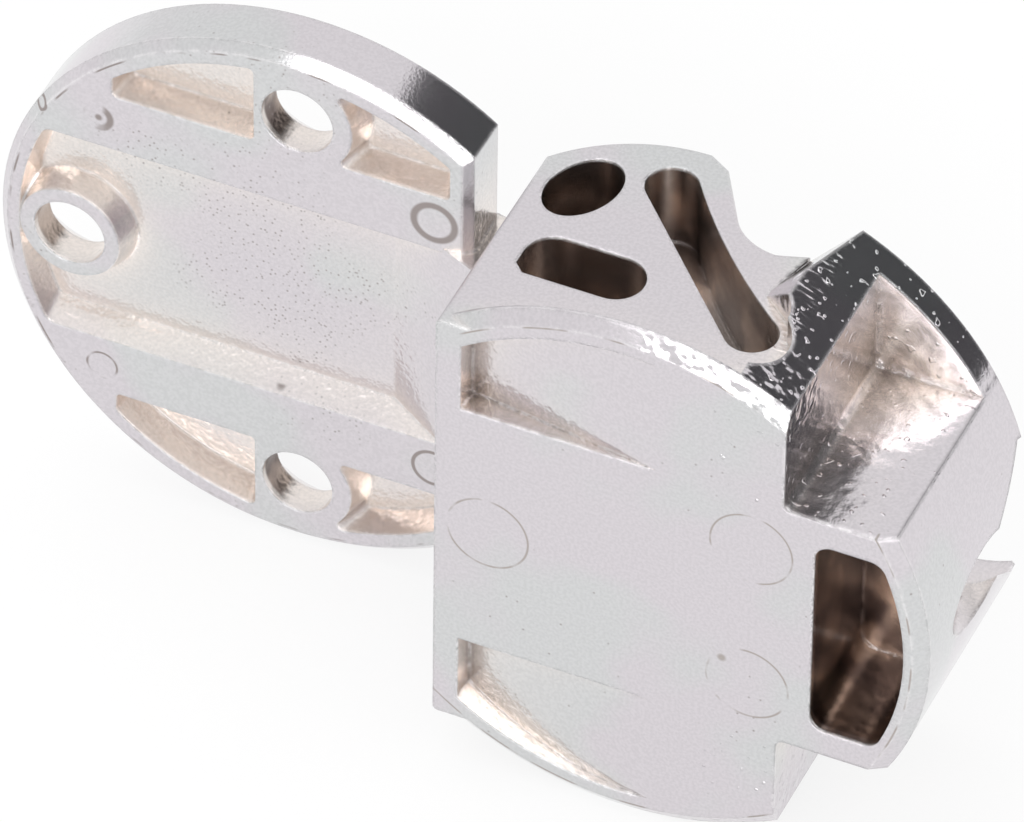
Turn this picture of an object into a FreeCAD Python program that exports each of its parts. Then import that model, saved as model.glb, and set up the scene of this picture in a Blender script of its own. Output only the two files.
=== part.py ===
import FreeCAD, Part
import math
import os

# A flap hinge of two zinc castings on a steel pin, each casting let into a drilled round recess.
# Origin: centre of the body's recess circle, on the closed face at the bottom of the recess.
# X runs from the leaf to the body, Y from the closed face to the face that shows, Z along the pin.
# All sizes are in millimetres.

# Recess that both castings fit
recess_radius = 17.5

# Body casting: outline and depth
body_depth = 14.35
body_flat = 10.8
floor_bevel_width = 0.8
floor_bevel_depth = 0.6
floor_rim = 0.8
floor_root = 2.2

# Knuckle head of the body, across from its flat and down from the height of its round end
head_half = 14.25
front_drop = 0.2
crown_rise = 3.6
crown_shoulder = 3.9
crown_shoulder_drop = 0.85
crown_top = 8.0
crown_back = 9.25
crown_back_drop = 0.75
head_edge = 0.3
neck = 11.3
neck_drop = 0.6
valley_middle = 12.6
valley_middle_drop = 1.75
valley = 14.2
valley_drop = 2.15
valley_end = 15.2

# Slanted step from the head's ends out to the round wall
step_start = 15.0
step_run = 2.1
step_rise = 2.4
step_fall_width = 1.45
step_fall_depth = 5.0
step_fall_back = 1.5
round_edge = 0.25

# Box and corner notches at the round end of the body
box_half = 8.4
notch_reach = 8.35
notch_corner = 0.5
flange_thickness = 2.05

# Pocket in the box, open at the closed face
box_wall = 1.7
box_skin = 1.3
box_pocket_length = 5.2
box_pocket_depth = 7.0
box_corner_radius = 1.0

# Slanted screw hole through the round end
screw_tilt = 32.0
screw_radius = 2.1
screw_exit_depth = 7.6
screw_wall = 1.2
screw_cone_start = 2.1
screw_cone_radius = 5.5

# Wedge pockets in the closed face
wedge_start = 1.45
wedge_length = 11.2
wedge_depth = 1.5
wedge_rim = 1.6

# Cores in the ends of the head, across from the flat and up from the closed face
core_depth = 5.3
egg_across = 2.85
egg_height = 12.6
egg_long = 2.6
egg_short = 1.78
egg_lean = 69.0
slot_core_low = 5.2
slot_core_high = 8.55
slot_core_start = 2.0
slot_core_end = 8.9
slot_core_corner = 0.6
bean_radius = 1.5
bean_top_across = 7.1
bean_top_height = 14.65
bean_low_across = 15.4
bean_low_height = 5.95
bean_waist = 0.45
bean_rim = 0.55
relief_across = 15.7
relief_height = 4.0
relief_radius = 2.6

# Pivot pin and the eye that turns on it
pivot_across = 6.2
pivot_drop = 3.75
pin_radius = 1.25
pin_press = 0.01
pin_clearance = 0.05
pin_chamfer = 0.25
pin_blind_depth = 4.7
pin_end_gap = 0.2
eye_radius = 3.2
slot_half = 7.5
slot_clearance = 0.25
tongue_clearance = 0.15

# Leaf casting
leaf_gap = 3.4
leaf_flat = 10.5
leaf_thickness = 3.8
leaf_proud = 1.45
leaf_bevel = 0.5
leaf_face_bevel = 0.3

# Channel and ramp in the leaf
channel_half = 7.1
channel_depth = 1.5
channel_draft = 0.9
rim_land = 1.2
channel_corner = 0.7
ramp_land = 1.6

# Screw holes of the leaf
leaf_screw_edge = 4.25
leaf_screw_across = 0.35
leaf_screw_radius = 2.1
leaf_sink_radius = 4.0
leaf_boss_radius = 2.95
leaf_boss_draft = 0.5

# Shallow pockets of the leaf, across from its centre
hole_land = 3.2
pocket_depth = 1.7
pocket_draft = 0.5
pocket_corner = 0.35
pocket_width = 6.6
pocket_rim = 1.35
left_pocket_land = 6.9
left_pocket_near = 2.2
right_pocket_land = 1.2

# How far a cutter reaches past the face that it opens
overcut = 1.0

# Places that follow from the sizes
far = 3 * recess_radius
body_front = -body_flat
pivot_x = body_front + pivot_across
pivot_y = body_depth - pivot_drop
leaf_end = body_front - leaf_gap
leaf_x = leaf_end - leaf_flat
leaf_far_y = body_depth + leaf_proud
leaf_near_y = leaf_far_y - leaf_thickness
tongue_half = slot_half - tongue_clearance
ramp_x = leaf_end - ramp_land
notch_wall = recess_radius - notch_reach
box_pocket_end = recess_radius - box_skin
box_pocket_start = box_pocket_end - box_pocket_length
leaf_screw_pitch = recess_radius - leaf_screw_edge
pocket_inner = recess_radius - pocket_width
left_pocket_far = recess_radius - left_pocket_land
right_pocket_far = leaf_flat - right_pocket_land


def point(x, y, z=0.0):
    return FreeCAD.Vector(x, y, z)


def line(start, end):
    return Part.LineSegment(start, end).toShape()


def arc(start, middle, end):
    return Part.Arc(start, middle, end).toShape()


def polygon(points):
    return Part.Face(Part.makePolygon(points + points[:1]))


def disc(radius, y0, y1, x=0.0, z=0.0):
    return Part.makeCylinder(radius, y1 - y0, point(x, y0, z), point(0, 1, 0))


def cone(radius0, radius1, y0, y1, x=0.0, z=0.0):
    return Part.makeCone(radius0, radius1, y1 - y0, point(x, y0, z), point(0, 1, 0))


def rod(radius, z0, z1):
    return Part.makeCylinder(radius, z1 - z0, point(pivot_x, pivot_y, z0), point(0, 0, 1))


def block(x0, x1, y0, y1, z0, z1):
    return Part.makeBox(x1 - x0, y1 - y0, z1 - z0, point(x0, y0, z0))


def mirrored(shape):
    return shape.mirror(point(0, 0, 0), point(0, 0, 1))


# Solid from z0 to z1 of a face drawn in the XY plane
def along_z(face, z0, z1):
    face.translate(point(0, 0, z0))
    return face.extrude(point(0, 0, z1 - z0))


# Solid turned about the Y axis from radius, depth pairs
def revolved(profile, x=0.0):
    return polygon([point(x + r, y) for r, y in profile]).revolve(point(x, 0), point(0, 1, 0), 360)


# Place where a line from the left touches a circle about the pivot: side 1 is its high side, -1 its low
def tangent_touch(start, radius, side):
    across = pivot_x - start.x
    up = pivot_y - start.y
    reach = math.hypot(across, up)
    turn = math.atan2(up, across) + side * math.asin(radius / reach)
    run = math.sqrt(reach ** 2 - radius ** 2)
    return start + point(run * math.cos(turn), run * math.sin(turn))


# Head with the knuckle's crown, one outline along the pin
def make_head():
    crown_y = body_depth + crown_rise
    corner = point(body_front, body_depth - front_drop)
    shoulder = point(body_front + crown_shoulder, crown_y - crown_shoulder_drop)
    top = point(body_front + crown_top, crown_y)
    back = point(body_front + crown_back, crown_y - crown_back_drop)
    neck_top = point(body_front + neck, body_depth - neck_drop)
    valley_turn = point(body_front + valley_middle, body_depth - valley_middle_drop)
    valley_low = point(body_front + valley, body_depth - valley_drop)
    end = point(body_front + valley_end, body_depth)
    edges = [
        line(point(body_front, 0), corner),
        arc(corner, shoulder, top),
        line(top, back),
        line(back, neck_top),
        arc(neck_top, valley_turn, valley_low),
        line(valley_low, end),
        line(end, point(end.x, 0)),
        line(point(end.x, 0), point(body_front, 0)),
    ]
    head = along_z(Part.Face(Part.Wire(edges)), -head_half, head_half)
    rims = [e for e in head.Edges if head_rim(e)]
    return head.makeFillet(head_edge, rims)


# Edge round an end of the head, above the closed face and short of the round end
def head_rim(edge):
    middle = edge.CenterOfMass
    above = middle.y > floor_root and middle.x < body_front + valley
    return above and abs(abs(middle.z) - head_half) < 0.001


# Closed round face with its bevelled edge, thicker towards the head
def make_floor():
    profile = [
        (0, 0),
        (recess_radius - floor_bevel_width, 0),
        (recess_radius, floor_bevel_depth),
        (recess_radius, floor_rim),
        (head_half, floor_root),
        (0, floor_root),
    ]
    return revolved(profile).cut(block(-far, body_front, -far, far, -far, far))


# Full-depth round end, from a slanted step beside the head to the recess circle
def make_round_end():
    profile = [
        (0, 0),
        (recess_radius - floor_bevel_width, 0),
        (recess_radius, floor_bevel_depth),
        (recess_radius, body_depth - round_edge),
        (recess_radius - round_edge, body_depth),
        (0, body_depth),
    ]
    inner_x = body_front + valley_end
    step_x = body_front + step_start
    wall_x = step_x + 2 * step_run
    wall_z = head_half + 2 * step_rise
    outline = [
        point(inner_x, 0, -head_half),
        point(inner_x, 0, head_half),
        point(step_x, 0, head_half),
        point(wall_x, 0, wall_z),
        point(far, 0, wall_z),
        point(far, 0, -wall_z),
        point(wall_x, 0, -wall_z),
        point(step_x, 0, -head_half),
    ]
    end = revolved(profile).common(polygon(outline).extrude(point(0, body_depth, 0)))
    cuts = [make_step_fall(), make_bean_relief()]
    return end.cut(cuts + [mirrored(c) for c in cuts])


# Slope that takes the slanted step down towards the valley
def make_step_fall():
    along = point(step_run, 0, step_rise).normalize()
    across = point(along.z, 0, -along.x)
    foot = point(body_front + step_start, body_depth, head_half)
    slope = step_fall_depth / step_fall_width
    outline = [
        foot - across * overcut + point(0, -step_fall_depth - slope * overcut, 0),
        foot + across * (step_fall_width + overcut) + point(0, slope * overcut, 0),
        foot - across * overcut + point(0, slope * overcut, 0),
    ]
    face = polygon(outline)
    face.translate(along * -step_fall_back)
    return face.extrude(along * far)


# Room above the end of the head round the low end of its bean core
def make_bean_relief():
    relief_x = body_front + relief_across
    rim = along_z(bean_core(bean_radius + bean_rim), head_half, far)
    low = block(0, relief_x + relief_radius / 2, -overcut, relief_height, head_half, far)
    turn = Part.makeCylinder(relief_radius, far, point(relief_x, relief_height, head_half), point(0, 0, 1))
    return rim.fuse([low, turn])


# Slanted screw hole: bore, conical seat and the room above it for the head
def make_screw_hole():
    tilt = math.radians(screw_tilt)
    up = point(-math.sin(tilt), math.cos(tilt))
    leaves = point(recess_radius, screw_exit_depth)
    seat = leaves + up * screw_cone_start
    seat_height = screw_cone_radius - screw_radius
    hole = Part.makeCylinder(screw_radius, 2 * body_depth, leaves - up * body_depth, up)
    hole = hole.fuse(Part.makeCone(screw_radius, screw_cone_radius, seat_height, seat, up))
    return hole.fuse(Part.makeCylinder(screw_cone_radius, body_depth, seat + up * seat_height, up))


# Pocket in the box, with a floor that slants along the wall of the screw hole
def make_box_pocket():
    half = box_half - box_wall
    pocket = disc(box_pocket_end, 0, box_pocket_depth)
    pocket = pocket.common(block(box_pocket_start, far, 0, box_pocket_depth, -half, half))
    corners = [e for e in pocket.Edges if upright(e)]
    pocket = pocket.makeFillet(box_corner_radius, corners)
    tilt = math.radians(screw_tilt)
    away = screw_radius + screw_wall
    slant_x = recess_radius - away / math.cos(tilt)
    rise = body_depth - screw_exit_depth
    guard = [
        point(slant_x - rise * math.tan(tilt), body_depth),
        point(slant_x + screw_exit_depth * math.tan(tilt), 0),
        point(far, 0),
        point(far, body_depth),
    ]
    return pocket.cut(along_z(polygon(guard), -box_half, box_half))


def upright(edge):
    start = edge.Vertexes[0].Point
    end = edge.Vertexes[-1].Point
    return abs(start.x - end.x) < 0.001 and abs(start.z - end.z) < 0.001 and abs(start.y - end.y) > 0.001


# Pocket in the closed face that runs out to nothing away from the flat
def make_wedge():
    start = body_front + wedge_start
    end = start + wedge_length
    outline = [
        point(start, -overcut),
        point(start, wedge_depth),
        point(end, 0),
        point(end, -overcut),
    ]
    wedge = along_z(polygon(outline), box_half, far)
    return wedge.common(disc(recess_radius - wedge_rim, -overcut, wedge_depth))


# Three cores in one end of the head
def make_cores():
    bottom = head_half - core_depth
    top = head_half + overcut
    centre = point(body_front + egg_across, egg_height)
    lean = math.radians(egg_lean)
    long_end = centre + point(math.cos(lean), math.sin(lean)) * egg_long
    short_end = centre + point(-math.sin(lean), math.cos(lean)) * egg_short
    egg = Part.Face(Part.Wire(Part.Ellipse(long_end, short_end, centre).toShape()))
    return [along_z(face, bottom, top) for face in (egg, slot_core(), bean_core(bean_radius))]


def slot_core():
    radius = (slot_core_high - slot_core_low) / 2
    middle = slot_core_low + radius
    left = body_front + slot_core_start
    right = body_front + slot_core_end
    turn = radius * math.sqrt(0.5)
    edges = [
        line(point(left + slot_core_corner, slot_core_low), point(right - radius, slot_core_low)),
        arc(point(right - radius, slot_core_low), point(right, middle), point(right - radius, slot_core_high)),
        line(point(right - radius, slot_core_high), point(left + radius, slot_core_high)),
        arc(point(left + radius, slot_core_high), point(left + radius - turn, middle + turn), point(left, middle)),
        line(point(left, middle), point(left, slot_core_low + slot_core_corner)),
        line(point(left, slot_core_low + slot_core_corner), point(left + slot_core_corner, slot_core_low)),
    ]
    return Part.Face(Part.Wire(edges))


def bean_core(radius):
    top = point(body_front + bean_top_across, bean_top_height)
    low = point(body_front + bean_low_across, bean_low_height)
    along = (low - top).normalize() * radius
    side = point(-along.y, along.x)
    waist = (top + low) * 0.5 + side * (1 - bean_waist / radius)
    edges = [
        arc(top + side, top - along, top - side),
        line(top - side, low - side),
        arc(low - side, low + along, low + side),
        arc(low + side, waist, top + side),
    ]
    return Part.Face(Part.Wire(edges))


# Room for the eye and the tongue between the cheeks, from lying flat to standing up
def make_slot():
    pivot = point(pivot_x, pivot_y)
    room = eye_radius + slot_clearance
    touch = tangent_touch(point(ramp_x, leaf_near_y), eye_radius, -1)
    low = pivot + (touch - pivot) * (room / eye_radius)
    slope = (touch.y - leaf_near_y) / (touch.x - ramp_x)
    start_x = body_front - overcut
    top_y = pivot_y + pivot_x - leaf_end
    outline = [
        point(start_x, low.y + slope * (start_x - low.x)),
        low,
        point(pivot_x + room, pivot_y),
        point(pivot_x + leaf_far_y - pivot_y + slot_clearance, top_y),
        point(start_x, top_y),
    ]
    slot = along_z(polygon(outline), -slot_half, slot_half)
    return slot.fuse(rod(room, -slot_half, slot_half))


def make_body():
    body = make_floor().fuse([make_head(), make_round_end()]).removeSplitter()
    notch = block(notch_wall, far, -overcut, body_depth - flange_thickness, box_half, far)
    body = body.cut([notch, mirrored(notch)])
    inner = [e for e in body.Edges if notch_edge(e)]
    body = body.makeFillet(notch_corner, inner)
    wedge = make_wedge()
    cores = make_cores()
    pin_hole = rod(pin_radius - pin_press, -head_half - overcut, slot_half + pin_blind_depth)
    cuts = [make_box_pocket(), make_screw_hole(), make_slot(), pin_hole, wedge, mirrored(wedge)]
    return body.cut(cuts + cores + [mirrored(c) for c in cores])


# Upright inner corner of a notch
def notch_edge(edge):
    middle = edge.CenterOfMass
    return upright(edge) and abs(middle.x - notch_wall) < 0.001 and abs(abs(middle.z) - box_half) < 0.001


# Round leaf with bevelled edges, cut off along the chord that faces the body
def make_leaf_blank():
    profile = [
        (0, leaf_near_y),
        (recess_radius - leaf_bevel, leaf_near_y),
        (recess_radius, leaf_near_y + leaf_bevel),
        (recess_radius, leaf_far_y - leaf_face_bevel),
        (recess_radius - leaf_face_bevel, leaf_far_y),
        (0, leaf_far_y),
    ]
    blank = revolved(profile, leaf_x)
    chord = [
        point(leaf_end - leaf_bevel - overcut, leaf_near_y - overcut),
        point(leaf_end, leaf_near_y + leaf_bevel),
        point(leaf_end, leaf_far_y - leaf_face_bevel),
        point(leaf_end - leaf_face_bevel - overcut, leaf_far_y + overcut),
        point(far, leaf_far_y + overcut),
        point(far, leaf_near_y - overcut),
    ]
    return blank.cut(along_z(polygon(chord), -far, far))


# Shallow channel across the leaf, its end a ramp in the plane of the tongue
def make_channel(touch):
    floor_y = leaf_near_y + channel_depth
    low = channel_half - channel_draft
    left = leaf_x - recess_radius
    channel = Part.makeWedge(
        left, leaf_near_y, -channel_half, -low, left, leaf_end, floor_y, channel_half, low, leaf_end
    )
    inside = recess_radius - rim_land
    channel = channel.common(cone(inside, inside - channel_draft / 2, leaf_near_y, floor_y, leaf_x))
    corners = [e for e in channel.Edges if side_edge(e) and e.CenterOfMass.x < leaf_x]
    channel = channel.makeFillet(channel_corner, corners)
    slope = (leaf_near_y - touch.y) / (touch.x - ramp_x)
    ramp = [
        point(ramp_x - 2 * channel_depth / slope, leaf_near_y + 2 * channel_depth),
        point(ramp_x + overcut, leaf_near_y - slope * overcut),
        point(leaf_end + overcut, leaf_near_y - slope * overcut),
        point(leaf_end + overcut, leaf_near_y + 2 * channel_depth),
    ]
    return channel.cut(along_z(polygon(ramp), -channel_half - overcut, channel_half + overcut))


# Edge that joins the near face to the floor of a pocket
def side_edge(edge):
    return abs(edge.Vertexes[0].Y - edge.Vertexes[-1].Y) > 0.9 * channel_depth


# Pocket on one side of an edge screw hole, its walls drafted
def make_pocket(x0, x1):
    floor_y = leaf_near_y + pocket_depth
    inner = pocket_inner + pocket_draft
    side0 = leaf_x + x0 + pocket_draft
    side1 = leaf_x + x1 - pocket_draft
    pocket = Part.makeWedge(
        leaf_x + x0, leaf_near_y, pocket_inner, inner, side0, leaf_x + x1, floor_y, far, far, side1
    )
    rim = recess_radius - pocket_rim
    pocket = pocket.common(cone(rim, rim - pocket_draft, leaf_near_y, floor_y, leaf_x))
    hole_x = leaf_x + leaf_screw_across
    land = cone(hole_land, hole_land + pocket_draft, leaf_near_y, floor_y, hole_x, leaf_screw_pitch)
    if x0 == 0:
        pocket = pocket.cut(land)
    return pocket.makeFillet(pocket_corner, [e for e in pocket.Edges if side_edge(e)])


# Screw hole through the leaf with its countersink on the face that shows
def make_leaf_hole(x, z):
    sink = leaf_sink_radius - leaf_screw_radius
    hole = disc(leaf_screw_radius, leaf_near_y - overcut, leaf_far_y + overcut, x, z)
    return hole.fuse(cone(leaf_screw_radius, leaf_sink_radius, leaf_far_y - sink, leaf_far_y, x, z))


# Tongue that narrows from the leaf to the eye
def make_tongue(touch):
    high_start = point(leaf_end, leaf_far_y)
    outline = [
        point(ramp_x, leaf_near_y),
        touch,
        point(pivot_x, pivot_y),
        tangent_touch(high_start, eye_radius, 1),
        high_start,
        point(ramp_x, leaf_far_y),
    ]
    tongue = along_z(polygon(outline), -tongue_half, tongue_half)
    return tongue.fuse(rod(eye_radius, -tongue_half, tongue_half))


def make_leaf():
    touch = tangent_touch(point(ramp_x, leaf_near_y), eye_radius, -1)
    right = make_pocket(0, right_pocket_far)
    left = make_pocket(-left_pocket_far, -left_pocket_near)
    cuts = [make_channel(touch), right, left, mirrored(right), mirrored(left)]
    leaf = make_leaf_blank().cut(cuts)
    third_x = leaf_x - leaf_screw_pitch
    boss_root = leaf_boss_radius + leaf_boss_draft
    boss = cone(leaf_boss_radius, boss_root, leaf_near_y, leaf_near_y + channel_depth, third_x)
    leaf = leaf.fuse([boss, make_tongue(touch)]).removeSplitter()
    holes = [
        make_leaf_hole(leaf_x + leaf_screw_across, leaf_screw_pitch),
        make_leaf_hole(leaf_x + leaf_screw_across, -leaf_screw_pitch),
        make_leaf_hole(third_x, 0),
        rod(pin_radius + pin_clearance, -slot_half, slot_half),
    ]
    return leaf.cut(holes)


def make_pin():
    length = head_half - pin_end_gap + slot_half + pin_blind_depth - pin_end_gap
    pin = rod(pin_radius, pin_end_gap - head_half, pin_end_gap - head_half + length)
    return pin.makeChamfer(pin_chamfer, pin.Edges[:1] + pin.Edges[2:])


os.makedirs("parts", exist_ok=True)
make_body().exportStep("parts/body_casting.step")
make_leaf().exportStep("parts/leaf_casting.step")
make_pin().exportStep("parts/pivot_pin.step")
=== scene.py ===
import bmesh
import bpy
from mathutils import Matrix, Vector


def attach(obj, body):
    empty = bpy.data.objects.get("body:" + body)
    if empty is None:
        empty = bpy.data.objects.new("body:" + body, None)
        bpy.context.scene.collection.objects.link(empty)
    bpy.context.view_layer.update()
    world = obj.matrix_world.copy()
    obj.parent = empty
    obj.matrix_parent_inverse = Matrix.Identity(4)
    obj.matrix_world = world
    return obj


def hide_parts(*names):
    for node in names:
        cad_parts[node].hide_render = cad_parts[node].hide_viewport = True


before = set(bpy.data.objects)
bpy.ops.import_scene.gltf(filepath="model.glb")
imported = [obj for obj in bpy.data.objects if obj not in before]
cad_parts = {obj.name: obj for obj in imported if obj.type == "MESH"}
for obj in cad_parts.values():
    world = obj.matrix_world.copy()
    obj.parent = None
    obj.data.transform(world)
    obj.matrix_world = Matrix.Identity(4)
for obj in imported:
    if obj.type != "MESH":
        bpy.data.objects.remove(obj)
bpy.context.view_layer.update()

mm = 0.001


def addNode(tree, kind, **settings):
    node = tree.nodes.new(kind)
    for key, value in settings.items():
        setattr(node, key, value)
    return node


def feed(tree, socket, value):
    if isinstance(value, bpy.types.NodeSocket):
        tree.links.new(value, socket)
    else:
        socket.default_value = value


def mathNode(tree, operation, first, second=0.0):
    node = addNode(tree, "ShaderNodeMath", operation=operation)
    feed(tree, node.inputs[0], first)
    feed(tree, node.inputs[1], second)
    return node.outputs[0]


def vectorNode(tree, operation, first, second=(0, 0, 0)):
    node = addNode(tree, "ShaderNodeVectorMath", operation=operation)
    feed(tree, node.inputs[0], first)
    feed(tree, node.inputs[1], second)
    return node.outputs


def splitVector(tree, vector):
    node = addNode(tree, "ShaderNodeSeparateXYZ")
    feed(tree, node.inputs[0], vector)
    return node.outputs[0], node.outputs[1], node.outputs[2]


def joinVector(tree, x, y, z):
    node = addNode(tree, "ShaderNodeCombineXYZ")
    for socket, value in zip(node.inputs, (x, y, z)):
        feed(tree, socket, value)
    return node.outputs[0]


def between(tree, source, low, high, start=0.0, end=1.0):
    node = addNode(tree, "ShaderNodeMapRange", interpolation_type="SMOOTHSTEP")
    labels = ("Value", "From Min", "From Max", "To Min", "To Max")
    for label, value in zip(labels, (source, low, high, start, end)):
        feed(tree, node.inputs[label], value)
    return node.outputs["Result"]


def noise(tree, vector, scale, detail=2.0):
    node = addNode(tree, "ShaderNodeTexNoise")
    feed(tree, node.inputs["Vector"], vector)
    feed(tree, node.inputs["Scale"], scale)
    feed(tree, node.inputs["Detail"], detail)
    return node.outputs["Fac"]


def colourMix(tree, mask, first, second):
    node = addNode(tree, "ShaderNodeMix", data_type="RGBA")
    feed(tree, node.inputs[0], mask)
    feed(tree, node.inputs[6], first)
    feed(tree, node.inputs[7], second)
    return node.outputs[2]


def newGroup(name, inputs, outputs):
    group = bpy.data.node_groups.new(name, "ShaderNodeTree")
    for label, kind, value in inputs:
        socket = group.interface.new_socket(name=label, in_out="INPUT", socket_type=kind)
        socket.default_value = value
    for label, kind in outputs:
        group.interface.new_socket(name=label, in_out="OUTPUT", socket_type=kind)
    return group, group.nodes.new("NodeGroupInput").outputs, group.nodes.new("NodeGroupOutput").inputs


def useGroup(tree, group, **values):
    node = addNode(tree, "ShaderNodeGroup", node_tree=group)
    for label, value in values.items():
        feed(tree, node.inputs[label], value)
    return node.outputs


# Where the effects below fade in and out
fades = {
    "pitCore": (0.04, 0.32),  # across a pit, as shares of its cell
    "edgeTurn": (0.75, 0.98),  # the dot product of the softened normal and the flat one
    "lineShare": 0.35,  # the part of a mark's line that is at full strength
    "faceReach": (0.4 * mm, 0.6 * mm),  # how far a mark reaches off its face
    "gapWidth": 0.12,  # how softly a mark breaks off
}


# The cast skin under the plate: fine grain, broad drifts of tone and small scattered pits
def makeCastSkin():
    group, given, made = newGroup(
        "castSkin",
        [("Vector", "NodeSocketVector", (0, 0, 0)), ("Grain", "NodeSocketFloat", 5200.0),
         ("Drift", "NodeSocketFloat", 90.0), ("Pits", "NodeSocketFloat", 3200.0),
         ("Share", "NodeSocketFloat", 0.1)],
        [("Grain", "NodeSocketFloat"), ("Drift", "NodeSocketFloat"), ("Pits", "NodeSocketFloat")])
    feed(group, made["Grain"], noise(group, given["Vector"], given["Grain"], 1.0))
    feed(group, made["Drift"], noise(group, given["Vector"], given["Drift"]))
    cells = addNode(group, "ShaderNodeTexVoronoi")
    feed(group, cells.inputs["Vector"], given["Vector"])
    feed(group, cells.inputs["Scale"], given["Pits"])
    chosen = mathNode(group, "LESS_THAN", cells.outputs["Color"], given["Share"])
    core = between(group, cells.outputs["Distance"], *fades["pitCore"], 1.0, 0.0)
    feed(group, made["Pits"], mathNode(group, "MULTIPLY", core, chosen))
    return group


# How closed in a spot is, from 0 in the open to 1 deep in a hole, and the softened edges
def makeHollows():
    group, given, made = newGroup(
        "hollows",
        [("Reach", "NodeSocketFloat", 6 * mm), ("Round", "NodeSocketFloat", 0.2 * mm)],
        [("Shade", "NodeSocketFloat"), ("Edge", "NodeSocketFloat"), ("Normal", "NodeSocketVector")])
    # Fewer samples than 4 would take the warm tone out of the pockets
    around = addNode(group, "ShaderNodeAmbientOcclusion", samples=4, only_local=True)
    feed(group, around.inputs["Distance"], given["Reach"])
    feed(group, made["Shade"], mathNode(group, "SUBTRACT", 1.0, around.outputs["AO"]))
    rounded = addNode(group, "ShaderNodeBevel", samples=2)
    feed(group, rounded.inputs["Radius"], given["Round"])
    flat = addNode(group, "ShaderNodeNewGeometry").outputs["True Normal"]
    turned = vectorNode(group, "DOT_PRODUCT", rounded.outputs["Normal"], flat)["Value"]
    feed(group, made["Edge"], between(group, turned, *fades["edgeTurn"], 1.0, 0.0))
    feed(group, made["Normal"], rounded.outputs["Normal"])
    return group


# A thin ring or a spot around an axis along Y, broken off where the wander falls below the gaps
def makeRingMark():
    group, given, made = newGroup(
        "ringMark",
        [("Vector", "NodeSocketVector", (0, 0, 0)), ("Middle", "NodeSocketVector", (0, 0, 0)),
         ("Radius", "NodeSocketFloat", 0.0), ("Line", "NodeSocketFloat", 0.2 * mm),
         ("Wander", "NodeSocketFloat", 0.5), ("Gaps", "NodeSocketFloat", 0.4)],
        [("Mark", "NodeSocketFloat")])
    offset = vectorNode(group, "SUBTRACT", given["Vector"], given["Middle"])[0]
    x, y, z = splitVector(group, offset)
    length = vectorNode(group, "LENGTH", joinVector(group, x, 0.0, z))["Value"]
    away = mathNode(group, "ABSOLUTE", mathNode(group, "SUBTRACT", length, given["Radius"]))
    full = mathNode(group, "MULTIPLY", given["Line"], fades["lineShare"])
    ring = between(group, away, full, given["Line"], 1.0, 0.0)
    near = between(group, mathNode(group, "ABSOLUTE", y), *fades["faceReach"], 1.0, 0.0)
    closed = mathNode(group, "ADD", given["Gaps"], fades["gapWidth"])
    whole = between(group, given["Wander"], given["Gaps"], closed)
    feed(group, made["Mark"], mathNode(group, "MULTIPLY", mathNode(group, "MULTIPLY", ring, near), whole))
    return group


# 1 inside a box and within a radius about an axis along Y, fading in from their sides
def makeBoxRoom():
    group, given, made = newGroup(
        "boxRoom",
        [("Vector", "NodeSocketVector", (0, 0, 0)), ("Middle", "NodeSocketVector", (0, 0, 0)),
         ("Half", "NodeSocketVector", (0, 0, 0)), ("Centre", "NodeSocketVector", (0, 0, 0)),
         ("Round", "NodeSocketFloat", 1.0), ("Fade", "NodeSocketFloat", 0.3 * mm)],
        [("Inside", "NodeSocketFloat")])
    offset = vectorNode(group, "SUBTRACT", given["Vector"], given["Middle"])[0]
    size = vectorNode(group, "ABSOLUTE", offset)[0]
    x, y, z = splitVector(group, vectorNode(group, "SUBTRACT", given["Half"], size)[0])
    least = mathNode(group, "MINIMUM", x, mathNode(group, "MINIMUM", y, z))
    about = vectorNode(group, "SUBTRACT", given["Vector"], given["Centre"])[0]
    flattened = vectorNode(group, "MULTIPLY", about, (1, 0, 1))[0]
    out = vectorNode(group, "LENGTH", flattened)["Value"]
    least = mathNode(group, "MINIMUM", least, mathNode(group, "SUBTRACT", given["Round"], out))
    feed(group, made["Inside"], between(group, least, 0.0, given["Fade"]))
    return group


castSkin = makeCastSkin()
hollows = makeHollows()
ringMark = makeRingMark()
boxRoom = makeBoxRoom()
print("effects ready")


# Bright nickel on cast zinc: lilac grey on the faces, beige in the pockets, painted shade in dark brown deep
# in the cores and holes, painted glints on the edges
nickel = {
    "plain": (0.68, 0.645, 0.675, 1),
    "cool": (0.655, 0.66, 0.665, 1),
    "coolDrift": (0.48, 0.62),  # the drift at which plain turns cool
    "warm": (0.87, 0.805, 0.76, 1),  # in pockets and on inner walls
    "notch": (0.55, 0.51, 0.48, 1),  # the same in the body's notches
    "blotchDepth": 0.25,  # how unevenly the warm tone sets in
    "deep": (0.175, 0.14, 0.13, 1),  # painted shade, dark far inside holes and cores
    "deepPatch": (0.50, 0.41, 0.355, 1),
    # Patches in the painted shade
    "shadePatchScale": 260.0,
    "shadePatchRange": (0.46, 0.62),
    "pit": (0.38, 0.35, 0.34, 1),
    "crowdScale": 110.0,  # the pits stand in crowds of this size
    "crowdRange": (0.46, 0.62),
    "edge": (0.92, 0.90, 0.91, 1),  # painted highlight: bright glints on the softened edges, in ragged lengths
    "glintRaggedScale": 1500.0,
    "glintRaggedRange": (0.38, 0.54),
    "grainRange": (0.34, 0.66),
    "mottle": (0.965, 1.03),  # how much the grain darkens and lightens
    "wanderScale": 420.0,  # the breaks in the marks
    "roughShade": (0.02, 0.5),
    "smoothRough": 0.13,
    "coarseRough": 0.26,  # where the casting is closed in
    "grainHeight": 0.014 * mm,
    "grainDepth": 0.34,
    "edgeRound": 0.32 * mm,
    "cornerRound": 0.4 * mm,  # added in the soft corners
    "cornerReach": 17.2 * mm,  # they stop short of the round wall
    "foldFade": 0.8 * mm,
    "speckEdge": 0.08,
}


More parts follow.
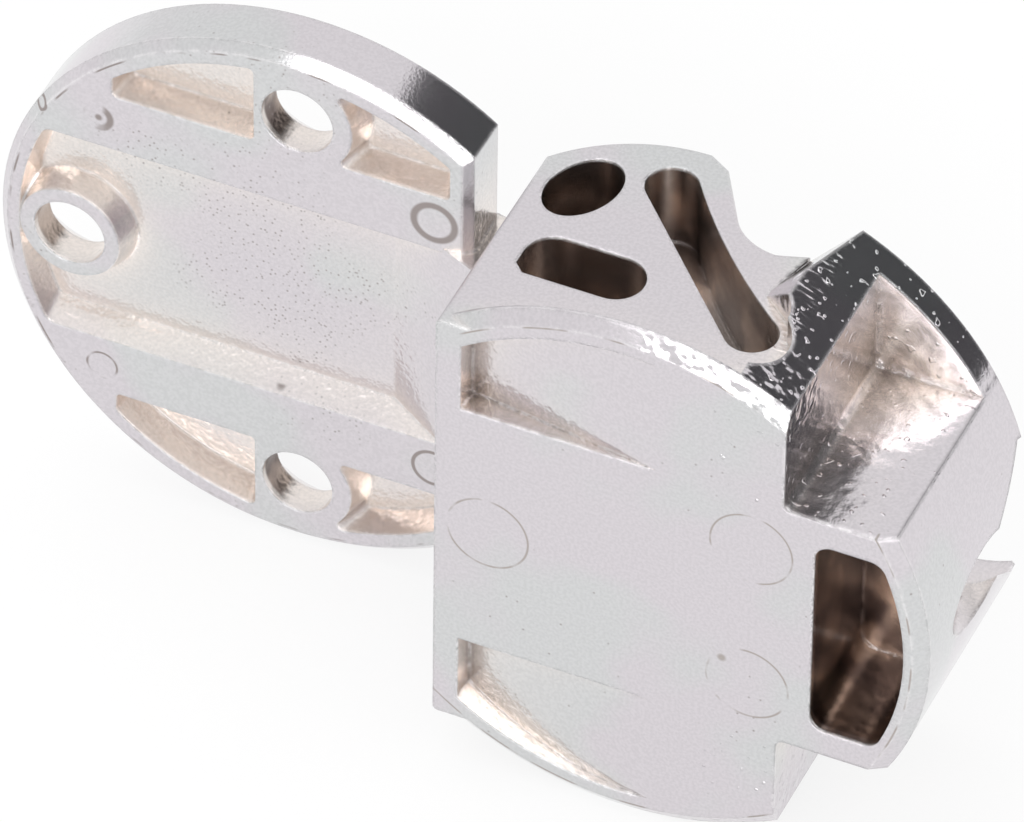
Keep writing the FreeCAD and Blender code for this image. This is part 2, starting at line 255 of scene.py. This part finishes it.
# The same zones serve both ends of a casting, so the place is folded over at its middle
def foldEnds(tree, place):
    x, y, z = splitVector(tree, place)
    return joinVector(tree, x, y, mathNode(tree, "ABSOLUTE", z))


# The body's notches have softer edges: how round each edge is, and where the notches are
def softNotches(tree, folded, piece):
    edgeRound = nickel["edgeRound"]
    notches = 0.0
    for middle, half in piece["softCorners"]:
        inside = useGroup(tree, boxRoom, Vector=folded, Middle=middle, Half=half,
                          Round=nickel["cornerReach"])["Inside"]
        extra = mathNode(tree, "MULTIPLY", inside, nickel["cornerRound"])
        edgeRound = mathNode(tree, "ADD", edgeRound, extra)
        notches = mathNode(tree, "MAXIMUM", notches, inside)
    return edgeRound, notches


# The tone of the plate, from the open faces to the painted shade in the cores, with its specks, painted
# glints on the edges and grain
def plateTone(tree, place, skin, hollow, shade, notches, piece):
    cool = between(tree, skin["Drift"], *nickel["coolDrift"])
    tone = colourMix(tree, cool, nickel["plain"], nickel["cool"])
    warmTone = colourMix(tree, notches, nickel["warm"], nickel["notch"])
    tone = colourMix(tree, between(tree, shade, *piece["warmShade"]), tone, warmTone)
    # Painted shade: dark brown deep in holes and cores, from how closed in a spot is, and in the shade rooms
    patch = between(tree, noise(tree, place, nickel["shadePatchScale"]), *nickel["shadePatchRange"])
    deepTone = colourMix(tree, patch, nickel["deep"], nickel["deepPatch"])
    deepMask = between(tree, hollow["Shade"], *piece["deepShade"])
    for middle, half, reach in piece["paintedShadeRooms"]:
        room = useGroup(tree, boxRoom, Vector=place, Middle=middle, Half=half, Round=reach)["Inside"]
        deepMask = mathNode(tree, "MAXIMUM", deepMask, room)
    tone = colourMix(tree, deepMask, tone, deepTone)
    crowd = between(tree, noise(tree, place, nickel["crowdScale"]), *nickel["crowdRange"])
    tone = colourMix(tree, mathNode(tree, "MULTIPLY", skin["Pits"], crowd), tone, nickel["pit"])
    # Painted glints: a bright tone on the softened edges, broken into ragged lengths
    glintLengths = between(tree, noise(tree, place, nickel["glintRaggedScale"]), *nickel["glintRaggedRange"])
    tone = colourMix(tree, mathNode(tree, "MULTIPLY", hollow["Edge"], glintLengths), tone, nickel["edge"])
    mottled = addNode(tree, "ShaderNodeVectorMath", operation="SCALE")
    feed(tree, mottled.inputs[0], tone)
    speck = between(tree, skin["Grain"], *nickel["grainRange"], *nickel["mottle"])
    feed(tree, mottled.inputs["Scale"], speck)
    return mottled.outputs[0]


# The rings, spots and thin lines that are left in the casting
def stampMarks(tree, place, tone, piece):
    marks = 0.0
    wander = noise(tree, place, nickel["wanderScale"])
    for middle, radius, line, gaps in piece["marks"]:
        mark = useGroup(tree, ringMark, Vector=place, Middle=middle, Radius=radius, Line=line,
                        Wander=wander, Gaps=gaps)["Mark"]
        marks = mathNode(tree, "MAXIMUM", marks, mark)
    return colourMix(tree, marks, tone, piece["mark"])


# The height of the skin: grain all over, and the folds of the crumpled zones
def plateHeight(tree, place, folded, skin, piece):
    height = mathNode(tree, "MULTIPLY", skin["Grain"], nickel["grainDepth"])
    for zone in piece["crumpled"]:
        inside = useGroup(tree, boxRoom, Vector=folded, Middle=zone["middle"], Half=zone["half"],
                          Centre=zone.get("centre", (0, 0, 0)), Round=zone.get("round", 1.0),
                          Fade=nickel["foldFade"])["Inside"]
        stretched = vectorNode(tree, "MULTIPLY", place, zone.get("stretch", (1, 1, 1)))[0]
        folds = noise(tree, stretched, zone["scale"], zone.get("detail", 1.0))
        if "specksFrom" in zone:
            folds = between(tree, folds, zone["specksFrom"], zone["specksFrom"] + nickel["speckEdge"])
        folds = mathNode(tree, "SUBTRACT", folds, 0.5)  # so that a zone has no step at its border
        folds = mathNode(tree, "MULTIPLY", mathNode(tree, "MULTIPLY", folds, zone["depth"]), inside)
        height = mathNode(tree, "ADD", height, folds)
    return height


def nickelPlate(name, piece):
    material = bpy.data.materials.new(name)
    material.use_nodes = True
    tree = material.node_tree
    shader = tree.nodes["Principled BSDF"]
    shader.inputs["Metallic"].default_value = 1.0
    place = addNode(tree, "ShaderNodeTexCoord").outputs["Object"]
    folded = foldEnds(tree, place)
    skin = useGroup(tree, castSkin, Vector=place, Share=piece["pitShare"])
    edgeRound, notches = softNotches(tree, folded, piece)
    hollow = useGroup(tree, hollows, Round=edgeRound)
    blotch = mathNode(tree, "MULTIPLY", mathNode(tree, "SUBTRACT", skin["Drift"], 0.5), nickel["blotchDepth"])
    shade = mathNode(tree, "ADD", hollow["Shade"], blotch)
    tone = plateTone(tree, place, skin, hollow, shade, notches, piece)
    feed(tree, shader.inputs["Base Color"], stampMarks(tree, place, tone, piece))
    rough = between(tree, shade, *nickel["roughShade"], nickel["smoothRough"], nickel["coarseRough"])
    feed(tree, shader.inputs["Roughness"], rough)
    bump = addNode(tree, "ShaderNodeBump")
    bump.inputs["Distance"].default_value = nickel["grainHeight"]
    feed(tree, bump.inputs["Height"], plateHeight(tree, place, folded, skin, piece))
    feed(tree, bump.inputs["Normal"], hollow["Normal"])
    feed(tree, shader.inputs["Normal"], bump.outputs["Normal"])
    return material


def dress(node, material):
    node.data.materials.clear()
    node.data.materials.append(material)


# The body: three ejector rings, a spot and a broken rim line on the closed face, folds round the notches,
# painted shade in the box pocket.
# Shade rooms, corners and zones have a middle and half sizes. A shade room's third value and a zone's "round"
# say how far out it goes from the Y axis, or from the zone's "centre".
body = {
    "pitShare": 0.10,
    "warmShade": (0.12, 0.5),
    "deepShade": (0.60, 0.82),
    # Painted shade: the deep box pocket is painted dark
    "paintedShadeRooms": [((13.6 * mm, 4.2 * mm, 0), (3.0 * mm, 3.9 * mm, 7.1 * mm), 16.5 * mm)],
    "softCorners": [((13 * mm, 7 * mm, 12.5 * mm), (3.9 * mm, 7 * mm, 4.2 * mm))],
    "crumpled": [
        # The bevel at the rim
        {"middle": (8 * mm, 1.4 * mm, 15.2 * mm), "half": (7.5 * mm, 3.2 * mm, 3 * mm),
         "scale": 1300.0, "depth": 9.0},
        # Where the head meets the round wall
        {"middle": (6 * mm, 8.5 * mm, 15.8 * mm), "half": (1.9 * mm, 6.4 * mm, 2.4 * mm),
         "scale": 1500.0, "depth": 6.0, "stretch": (0.5, 1.4, 0.5)},
        # Specks on the walls round a notch
        {"middle": (11 * mm, 7.5 * mm, 13.5 * mm), "half": (6.5 * mm, 8 * mm, 5.5 * mm),
         "scale": 1900.0, "depth": 4.0, "specksFrom": 0.66},
        # Waves inside a notch
        {"middle": (14 * mm, 7.4 * mm, 11.5 * mm), "half": (6 * mm, 9 * mm, 5.5 * mm),
         "scale": 480.0, "depth": 7.0, "detail": 2.0, "round": 17.9 * mm},
        # The floor of a pocket in the closed face
        {"middle": (-2 * mm, 1.8 * mm, 12 * mm), "half": (7 * mm, 1.7 * mm, 4.5 * mm),
         "scale": 2400.0, "depth": 2.0, "round": 16.4 * mm},
    ],
    "mark": (0.46, 0.42, 0.40, 1),
    # Middle, radius, width of the line and how much of it is broken off
    "marks": [
        ((-7.7 * mm, 0, 0), 2.35 * mm, 0.09 * mm, 0.42),
        ((7.4 * mm, 0, 4.9 * mm), 2.35 * mm, 0.08 * mm, 0.44),
        ((7.4 * mm, 0, -4.9 * mm), 2.35 * mm, 0.09 * mm, 0.42),
        ((5.9 * mm, 0, -3.6 * mm), 0.0, 0.35 * mm, 0.20),
        ((0, 0, 0), 16.65 * mm, 0.08 * mm, 0.47),
    ],
}


# The valley's end corners stand up as thin points on the solid: the shown body has them leaned to the wall
bodyCorners = {
    "from": (4.4 * mm, 14.35 * mm, 14.25 * mm),
    "to": (5.1 * mm, 12.6 * mm, 14.25 * mm),
    "near": 0.02 * mm,
    "merge": 0.001 * mm,
}


def leanCorners(source, corners):
    shape = bmesh.new()
    shape.from_mesh(source)
    kept = shape.loops.layers.float_vector.new("keptNormal")
    normals = source.corner_normals
    for face in shape.faces:
        for loop in face.loops:
            loop[kept] = normals[loop.index].vector
    bmesh.ops.remove_doubles(shape, verts=shape.verts, dist=corners["merge"])
    moved = set()
    for side in (1, -1):
        start = Vector((corners["from"][0], corners["from"][1], side * corners["from"][2]))
        for vert in shape.verts:
            if (vert.co - start).length < corners["near"]:
                vert.co = (corners["to"][0], corners["to"][1], side * corners["to"][2])
                moved.update(vert.link_faces)
    shape.normal_update()
    shown = []
    for face in shape.faces:
        for loop in face.loops:
            shown.append(face.normal.copy() if face in moved else loop[kept].copy())
    shape.loops.layers.float_vector.remove(kept)
    mesh = bpy.data.meshes.new("bodyShown")
    shape.to_mesh(mesh)
    shape.free()
    mesh.shade_smooth()
    mesh.normals_split_custom_set(shown)
    return mesh, len(moved)


bodyMesh, leaned = leanCorners(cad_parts["body_casting"].data, bodyCorners)
bodyShown = bpy.data.objects.new("bodyShown", bodyMesh)
bpy.context.scene.collection.objects.link(bodyShown)
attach(bodyShown, "body")
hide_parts("body_casting")
dress(bodyShown, nickelPlate("bodyNickel", body))
print("body plated, faces leaned:", leaned)


# The leaf: ejector marks on its lands, more specks in its channel, painted shade in its screw holes
leafFace = 12 * mm
leafMiddle = -24.7 * mm
leaf = {
    "pitShare": 0.42,
    "warmShade": (0.05, 0.34),
    "deepShade": (0.70, 0.92),
    # Painted shade in the three screw holes
    "paintedShadeRooms": [
        ((x * mm, 13.5 * mm, z * mm), (0.95 * mm, 1.3 * mm, 1.3 * mm), 1.0)
        for x, z in ((-25.95, 12.6), (-25.95, -13.9), (-39.55, -0.6))
    ],
    "softCorners": [],
    "crumpled": [
        {"middle": (leafMiddle, 13.6 * mm, 0), "half": (17 * mm, 1.5 * mm, 17 * mm),
         "scale": 2400.0, "depth": 2.2, "centre": (leafMiddle, 0, 0), "round": 16.8 * mm},
    ],
    "mark": (0.34, 0.30, 0.29, 1),
    "marks": [
        ((-16.3 * mm, leafFace, 9.0 * mm), 1.2 * mm, 0.3 * mm, 0.20),
        ((-16.3 * mm, leafFace, -9.0 * mm), 1.15 * mm, 0.16 * mm, 0.34),
        ((-36.1 * mm, leafFace, 9.1 * mm), 0.7 * mm, 0.3 * mm, 0.42),
        ((-36.1 * mm, leafFace, 9.1 * mm), 0.0, 0.3 * mm, 0.1),
        ((-36.1 * mm, leafFace, -9.1 * mm), 0.9 * mm, 0.1 * mm, 0.46),
        ((-25.5 * mm, leafFace, -6.7 * mm), 0.0, 0.4 * mm, 0.1),
        ((-39.6 * mm, leafFace, 8.7 * mm), 0.35 * mm, 0.14 * mm, 0.1),
        ((leafMiddle, leafFace, 0), 16.85 * mm, 0.08 * mm, 0.5),
    ],
}
dress(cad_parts["leaf_casting"], nickelPlate("leafNickel", leaf))
print("leaf plated")


# The pin: plain drawn steel
pin = {
    "tone": (0.52, 0.51, 0.50, 1),
    "rough": 0.3,
    "lineHeight": 0.004 * mm,
    "lineScale": 3000.0,
    "lineDetail": 3.0,
}
steel = bpy.data.materials.new("pinSteel")
steel.use_nodes = True
tree = steel.node_tree
shader = tree.nodes["Principled BSDF"]
shader.inputs["Metallic"].default_value = 1.0
shader.inputs["Base Color"].default_value = pin["tone"]
shader.inputs["Roughness"].default_value = pin["rough"]
bump = addNode(tree, "ShaderNodeBump")
bump.inputs["Distance"].default_value = pin["lineHeight"]
place = addNode(tree, "ShaderNodeTexCoord").outputs["Object"]
feed(tree, bump.inputs["Height"], noise(tree, place, pin["lineScale"], pin["lineDetail"]))
feed(tree, shader.inputs["Normal"], bump.outputs["Normal"])
dress(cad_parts["pivot_pin"], steel)
print("pin dressed")


# The floor is shown white to the camera and in the plate, and still takes the shadow
studio = {
    "floorHeight": -17.5 * mm,
    "floorReach": 1.2,
    "floorColour": (0.9, 0.9, 0.9, 1),
    "floorRough": 0.9,
    "floorGlow": 0.78,
    "air": (0.95, 0.95, 0.95, 1),
    "shownAir": (1, 1, 1, 1),
}

floorMesh = bpy.data.meshes.new("floor")
shape = bmesh.new()
bmesh.ops.create_grid(shape, x_segments=1, y_segments=1, size=studio["floorReach"])
bmesh.ops.translate(shape, vec=(0, 0, studio["floorHeight"]), verts=shape.verts)
shape.to_mesh(floorMesh)
shape.free()
floor = bpy.data.objects.new("floor", floorMesh)
bpy.context.scene.collection.objects.link(floor)

paper = bpy.data.materials.new("paleFloor")
paper.use_nodes = True
tree = paper.node_tree
matt = tree.nodes["Principled BSDF"]
matt.inputs["Base Color"].default_value = studio["floorColour"]
matt.inputs["Roughness"].default_value = studio["floorRough"]
matt.inputs["Specular IOR Level"].default_value = 0.0
glow = addNode(tree, "ShaderNodeEmission")
rays = addNode(tree, "ShaderNodeLightPath").outputs
seen = mathNode(tree, "MAXIMUM", rays["Is Glossy Ray"], rays["Is Transmission Ray"])
seen = mathNode(tree, "MAXIMUM", rays["Is Camera Ray"], seen)
blend = addNode(tree, "ShaderNodeMixShader")
feed(tree, blend.inputs[0], mathNode(tree, "MULTIPLY", seen, studio["floorGlow"]))
feed(tree, blend.inputs[1], matt.outputs[0])
feed(tree, blend.inputs[2], glow.outputs[0])
feed(tree, tree.nodes["Material Output"].inputs["Surface"], blend.outputs[0])
dress(floor, paper)

world = bpy.data.worlds.new("studio")
bpy.context.scene.world = world
world.use_nodes = True
tree = world.node_tree
rays = addNode(tree, "ShaderNodeLightPath").outputs
air = colourMix(tree, rays["Is Camera Ray"], studio["air"], studio["shownAir"])
feed(tree, tree.nodes["Background"].inputs["Color"], air)
print("floor and air ready")


# A black card behind and to the right of the part: the plate's curved walls mirror it
card = {
    "corners": [(-4, 80), (6, 66), (20, 50), (42, 22), (56, 2), (100, 2), (125, 30), (125, 112), (36, 112)],
    "depth": 78,
    "tone": (0.05, 0.05, 0.053, 1),
}
cardMesh = bpy.data.meshes.new("blackCard")
cardCorners = [(x * mm, card["depth"] * mm, z * mm) for x, z in card["corners"]]
cardMesh.from_pydata(cardCorners, [], [list(range(len(cardCorners)))])
blackCard = bpy.data.objects.new("blackCard", cardMesh)
bpy.context.scene.collection.objects.link(blackCard)
blackCard.visible_camera = False
blackCard.visible_diffuse = False
blackCard.visible_shadow = False
black = bpy.data.materials.new("blackPaper")
black.use_nodes = True
blackShader = black.node_tree.nodes["Principled BSDF"]
blackShader.inputs["Base Color"].default_value = card["tone"]
blackShader.inputs["Roughness"].default_value = 1.0
dress(blackCard, black)


# Two lamps, each turned to the part: a long strip in front and a soft box above
lamps = {
    "frontStrip": {"place": (0.22, -0.66, 0.39), "along": (1.05, 0.04, -0.56),
                   "width": 1.25, "height": 0.26, "power": 3.6},
    "topBox": {"place": (-0.25, 0.1, 0.8), "along": (1, 0, 0),
               "width": 0.5, "height": 0.5, "power": 0.6},
}


def addLamp(name, lamp):
    data = bpy.data.lights.new(name, "AREA")
    data.shape = "RECTANGLE"
    data.size = lamp["width"]
    data.size_y = lamp["height"]
    data.energy = lamp["power"]
    thing = bpy.data.objects.new(name, data)
    bpy.context.scene.collection.objects.link(thing)
    outward = Vector(lamp["place"]).normalized()
    along = Vector(lamp["along"])
    side = (along - along.dot(outward) * outward).normalized()
    turn = Matrix((side, outward.cross(side), outward)).transposed().to_4x4()
    thing.matrix_world = Matrix.Translation(lamp["place"]) @ turn
    thing.visible_camera = False


for name, lamp in lamps.items():
    addLamp(name, lamp)


# The camera that took the photo
photoCamera = {
    "place": (0.197797, -0.466707, 0.488385),
    "forward": (-0.2920, 0.66747, -0.6850),
    "right": (0.91221, 0.40959, 0.01025),
    "lens": 468.9,
    "sensor": 36.0,
    "clipStart": 0.01,
    "clipEnd": 10.0,
}
cameraData = bpy.data.cameras.new("photoCamera")
cameraData.lens = photoCamera["lens"]
cameraData.sensor_width = photoCamera["sensor"]
cameraData.clip_start = photoCamera["clipStart"]
cameraData.clip_end = photoCamera["clipEnd"]
camera = bpy.data.objects.new("photoCamera", cameraData)
bpy.context.scene.collection.objects.link(camera)
right = Vector(photoCamera["right"]).normalized()
back = -Vector(photoCamera["forward"]).normalized()
up = back.cross(right).normalized()
turn = Matrix((right, up, back)).transposed().to_4x4()
camera.matrix_world = Matrix.Translation(photoCamera["place"]) @ turn
bpy.context.scene.camera = camera
bpy.context.scene.view_settings.view_transform = "Standard"
print("studio ready")
